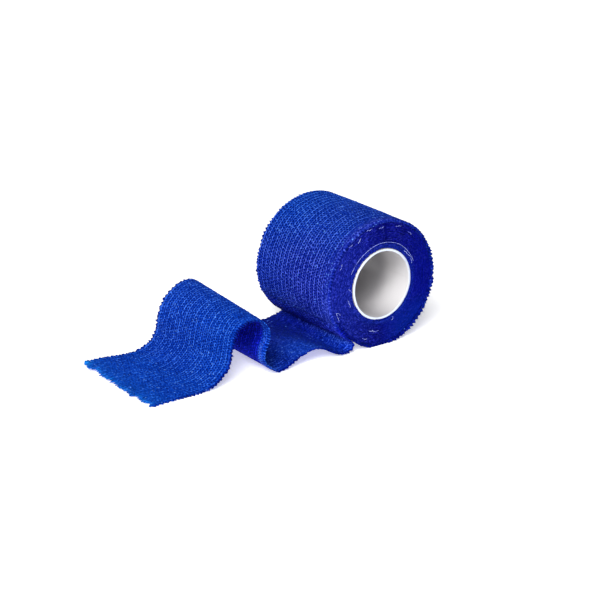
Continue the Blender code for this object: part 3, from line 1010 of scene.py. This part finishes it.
# Painted shade along the ragged long edges, less towards the cut end and none on the curl
dark_edge = 0.9 * by_edge(np.abs(across), 0.7, 0.6) * (1.0 - 0.4 * to_end) * (1.0 - curl)
lit_rim = at_arch * by_edge(-across, 1.7, 1.0)
painted_shade_top = painted_shade_at_back + (painted_shade_at_front - painted_shade_at_back) * to_front - 0.50 * at_ridge
painted_shade_top = np.clip(painted_shade_top + dark_edge - lit_rim, 0.0, 1.0)
front_band = by_edge(-across, 5.0, 2.0)
painted_shade_under = 0.65 * at_arch * smooth((-across - 6 * MM) / (9 * MM)) * (1.0 - front_band)

# Painted light: the cloth lighter low on the roll's side and at its foot, at the fold, and on the arch's
# front rim
low_side = swell(run, FOOT_RUN, 9.5 * MM) * smooth((20 * MM - across) / (16 * MM))
low_rim = (1.0 - smooth((run - 4 * MM) / (8 * MM))) * smooth((-across - 12 * MM) / (9 * MM))
open_fold = swell(run, FOLD_RUN, 4.5 * MM) * smooth((8 * MM - across) / (16 * MM))
relief_and_painted_light_top = relief + 0.8 * low_rim + 0.8 * low_side + open_fold + 1.7 * lit_rim

# The share of lighter cyan: painted light at the loose end's front past the foot and towards its cut end
cyan_and_painted_light_top = crepe_cyan_share(across) * (1.0 - slackness) + 0.15 * slackness
cyan_and_painted_light_top = cyan_and_painted_light_top + 0.65 * smooth((run - 40 * MM) / (30 * MM)) + 0.4 * to_end
cyan_and_painted_light_top = cyan_and_painted_light_top + 0.55 * smooth((run - 8 * MM) / (8 * MM)) * to_front * (1.0 - cyan_and_painted_light_top)
cyan_and_painted_light_top = np.clip(cyan_and_painted_light_top, 0.0, 1.0)

# Painted shade: deeper blue at the foot of the roll and in the crevice on the top, and all over the
# underside except its front band and the cut end
foot_blue = (0.18 + 0.50 * swell(run, 6.0 * MM, 8.0 * MM)) * (1.0 - slackness)
in_crevice = 0.3 * swell(run, CREVICE_RUN, 4.0 * MM) * (1.0 - 0.8 * to_front)
# Lighter cyan in patches along the cut end, a little before it and on the curled corner
at_cut = smooth(1.0 - to_cut / (1.6 * MM))
cut_patch = 0.55 + 0.6 * waver(across / (1.8 * MM), 0.5, 77)
near_cut = smooth((run - 136 * MM) / (14 * MM))
cyan_lightening_end = np.clip(0.60 * at_cut * cut_patch + 0.12 * near_cut + 0.65 * curl, 0.0, 1.0)
blue_top = np.clip(in_crevice + foot_blue, 0.0, 1.0)
blue_under = (1.0 - 0.9 * front_band) * (1.0 - at_cut)
loose_kept = {
    # Painted light underneath, on the arch's front band: more relief and lighter cyan
    "relief": all_round(relief_and_painted_light_top, relief + 0.5 * front_band * at_arch),
    "order": all_round(loose_order, np.maximum(loose_order, front_band)),
    "cyan_and_painted_light": all_round(cyan_and_painted_light_top, cyan_and_painted_light_top * (0.3 + 0.7 * front_band)),
    "painted_shade": all_round(painted_shade_top, painted_shade_under),
    "painted_shade_blue": all_round(blue_top, blue_under),
    "cyan_lightening": all_round(cyan_lightening_end),
}
for name, values in loose_kept.items():
    keep(loose, name, values)
loose.data.materials.append(crepe)
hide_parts("loose_end")
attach(loose, "root")


# --------------------------------------------------------------- stray threads
# Elastic threads that have sprung out of the cut edges: one long one lies round the roll's near
# face, two show inside the arch's front edge, and the rest are short frays. All are caught in the
# cloth at one end.

THREAD_RADIUS = 0.070 * MM
THREAD_POINTS = 28
THREAD_SIDES = 5
LONG_THREAD_FROM = 155.0
LONG_THREAD_ROUND = 133.0
LONG_THREAD_OUT = 17.9
THREAD_BLUE = (0.420, 0.500, 0.920, 1.0)
EDGE_THREAD_BLUE = (0.060, 0.140, 0.640, 1.0)

# Threads inside the arch's front edge: how far in from it, and from which run to which, all in mm
EDGE_THREADS = (
    (1.5, 54.0, 72.0),
    (2.6, 54.0, 69.0),
)

# Frays: mm out from the axis, degrees round it, mm long, degrees of slant and mm of waviness
FRAYS = (
    (24.8, 92.0, 2.6, 15.0, 0.16),
    (25.9, 106.0, 2.6, -20.0, 0.30),
    (25.0, 71.0, 2.6, 25.0, 0.35),
    (24.1, 54.0, 2.4, -10.0, 0.22),
    (24.7, 120.0, 2.2, 30.0, 0.40),
    (26.2, 130.0, 1.8, -30.0, 0.30),
    (24.6, 151.0, 2.6, 20.0, 0.40),
    (25.1, -158.0, 4.2, 2.0, 0.12),
    (24.0, -160.0, 1.8, 40.0, 0.30),
    (18.1, -164.0, 3.4, 8.0, 0.18),
    (16.6, 179.0, 2.0, 60.0, 0.25),
    (17.3, -71.0, 1.0, 65.0, 0.15),
    (20.3, -102.0, 5.4, -4.0, 0.35),
    (23.9, -112.0, 2.6, 8.0, 0.20),
    (16.7, 41.0, 3.4, 5.0, 0.30),
    (16.9, 26.0, 2.8, -15.0, 0.30),
    (17.4, 33.0, 2.2, 35.0, 0.30),
)


def tubes(name, lines, radii, sides):
    """A mesh of many thin tubes, one along each line of points."""
    tangent = np.gradient(lines, axis=1)
    tangent /= np.linalg.norm(tangent, axis=2, keepdims=True) + 1e-12
    reference = np.where(np.abs(tangent[..., 2:3]) < 0.8, [[[0.0, 0.0, 1.0]]], [[[1.0, 0.0, 0.0]]])
    first = np.cross(tangent, reference)
    first /= np.linalg.norm(first, axis=2, keepdims=True)
    second = np.cross(tangent, first)
    turns = 2 * np.pi * np.arange(sides) / sides
    circle = np.cos(turns)[:, None] * first[:, :, None] + np.sin(turns)[:, None] * second[:, :, None]
    places = lines[:, :, None] + np.asarray(radii)[None, :, None, None] * circle
    count, points = lines.shape[:2]
    index = np.arange(count * points * sides).reshape(count, points, sides)
    beside = np.roll(index, -1, axis=2)
    quads = np.stack([index[:, :-1], beside[:, :-1], beside[:, 1:], index[:, 1:]], -1).reshape(-1, 4)
    ends = np.concatenate([index[:, 0, ::-1], index[:, -1]])
    return mesh_piece(name, places, quads.tolist() + ends.tolist())


def on_face(radius, degrees, out):
    """A point on the roll's near face, a given way out from it."""
    angle = np.radians(degrees)
    x = radius * np.cos(angle)
    z = AXIS_HEIGHT + radius * np.sin(angle)
    return np.stack([x, -BAND_HALF - out, z], -1)


step = np.linspace(0.0, 1.0, THREAD_POINTS)
long_degrees = LONG_THREAD_FROM - LONG_THREAD_ROUND * step
long_radius = (LONG_THREAD_OUT + 0.30 * waver(step * 7, 0.5, 81)) * MM
lines = [on_face(long_radius, long_degrees, (0.28 + 0.16 * waver(step * 5, 0.5, 82)) * MM)]
for number, (radius, degrees, length, slant, wave) in enumerate(FRAYS):
    forward = (step - 0.5) * length
    slanted = forward * math.tan(math.radians(slant)) * 0.6
    sideways = 1.2 * wave * waver(step * length * 1.7, number + 0.5, 83) + slanted
    around = degrees - np.degrees(forward / radius)
    rise_out = (0.30 + 0.35 * np.sin(np.pi * step) + 0.15 * waver(step * 3, number + 0.5, 84)) * MM
    lines.append(on_face((radius + sideways) * MM, around, rise_out))
free_threads = len(lines)
for inward, first_run, last_run in EDGE_THREADS:
    rows = np.interp(first_run + (last_run - first_run) * step, loose_run / MM, np.arange(loose_rows + 1))
    column = int(np.argmin(np.abs(across[0] + LOOSE_HALF - inward * MM)))
    lines.append(under[rows.astype(int), column])
lines = np.array(lines)
lines[..., 2] = np.maximum(lines[..., 2], THREAD_RADIUS)
threads = tubes("stray_threads", lines, np.full(THREAD_POINTS, THREAD_RADIUS), THREAD_SIDES)
on_edge = np.repeat(np.arange(len(lines)) >= free_threads, THREAD_POINTS * THREAD_SIDES)
keep(threads, "on_edge", on_edge)

thread_pale, thread_shader, where = plain_material("stray_thread", 0.7, 0.2)
blue = mixed(stored(thread_pale, "on_edge"), THREAD_BLUE, EDGE_THREAD_BLUE)
blue = mixed(rise(noise(where, 1400.0, 2.0), 0.35, 0.6), CREPE_BLUES["pale"][0], blue)
fill(thread_shader, {"Base Color": blue})
threads.data.materials.append(thread_pale)
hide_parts("wound_bandage")
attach(threads, "root")


# ------------------------------------------------------------------------ fuzz
# The cut ends of the crepe's own fibres, about half a millimetre long and held in the cloth. They
# stand out all along the strip's long edges and its cut end, each leaning its own way.

FUZZ_RADIUS = 0.035 * MM
FUZZ_SHAPE = (1.0, 0.9, 0.7, 0.35)
FUZZ_LENGTH = 0.85 * MM
FUZZ_ON_ROLL = 0.55 * MM
FUZZ_ON_LOOSE = 0.45 * MM
FUZZ_ON_CUT = 0.70 * MM
FUZZ_BLUE = (0.0010, 0.0080, 0.130, 1.0)
FUZZ_CUT = (0.0300, 0.2300, 0.680, 1.0)


def fuzz(name, roots, outward, length, seed):
    """Short bent fibres on the given points, each leaning its own way."""
    count = len(roots)
    place = np.arange(count)
    lean = np.stack([chance(place, k, seed) for k in range(3)], 1)
    upright = outward + 0.55 * lean
    upright /= np.linalg.norm(upright, axis=1, keepdims=True)
    bend = np.stack([chance(place, k + 3, seed) for k in range(3)], 1)
    size = length * (0.65 + 0.45 * chance(place, 7, seed))[:, None, None]
    t = np.linspace(-0.15, 1.0, len(FUZZ_SHAPE))[None, :, None]
    lines = roots[:, None] + size * (t * upright[:, None] + 0.45 * t**2 * bend[:, None])
    lines[..., 2] = np.maximum(lines[..., 2], FUZZ_RADIUS)
    return tubes(name, lines, FUZZ_RADIUS * np.array(FUZZ_SHAPE), 3)


def picked(line, spacing, seed):
    """Which points of a line are picked, at uneven steps along it."""
    count = int(np.linalg.norm(np.diff(line, axis=0), axis=1).sum() / spacing)
    chosen = (np.arange(count) + 0.5 + 0.45 * chance(np.arange(count), 0, seed)) / count
    return np.clip((chosen * (len(line) - 1)).astype(int), 0, len(line) - 1)


roots, directions = [], []
outer_grid = np.stack(outer_rings, 1)
outer_angle = np.radians(outer_degrees)
radial = np.stack([-np.sin(outer_angle), 0 * outer_angle, -np.cos(outer_angle)], 1)
for column, side in ((1, -1.0), (3, -1.0), (len(RIM_ROUNDING) * 2 + len(spread) - 2, 1.0)):
    chosen = picked(outer_grid[:, column], FUZZ_ON_ROLL, 91 + column)
    chosen = chosen[outer_degrees[chosen] < 355.0]
    roots.append(outer_grid[chosen, column])
    directions.append(radial[chosen] * 0.8 + np.array([0.0, side, 0.0]))
for line, before, seed in ((sheet[:, 0], sheet[:, 3], 94), (sheet[:, -1], sheet[:, -4], 95)):
    chosen = picked(line, FUZZ_ON_LOOSE, seed)
    roots.append(line[chosen])
    away = (line - before)[chosen]
    directions.append(away / np.linalg.norm(away, axis=1, keepdims=True))
long_edges = sum(len(some) for some in roots)
chosen = picked(sheet[-1], FUZZ_ON_CUT, 96)
roots.append(sheet[-1][chosen])
directions.append(np.tile([-1.0, 0.0, 0.15], (len(chosen), 1)))
roots = np.concatenate(roots)
edge_fuzz = fuzz("edge_fuzz", roots, np.concatenate(directions), FUZZ_LENGTH, 99)
keep(edge_fuzz, "at_cut", np.repeat(np.arange(len(roots)) >= long_edges, len(FUZZ_SHAPE) * 3))

fuzz_blue, fuzz_shader, where = plain_material("fuzz_blue", 0.9, 0.05)
tuft = noise(where, 700.0, 1.0)
ground = CREPE_BLUES["ground"][1]
along_edge = mixed(rise(tuft, 0.35, 0.65), FUZZ_BLUE, ground)
at_end = mixed(rise(tuft, 0.30, 0.60), ground, FUZZ_CUT)
fill(fuzz_shader, {"Base Color": mixed(stored(fuzz_blue, "at_cut"), along_edge, at_end)})
edge_fuzz.data.materials.append(fuzz_blue)
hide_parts("loose_end")
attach(edge_fuzz, "root")
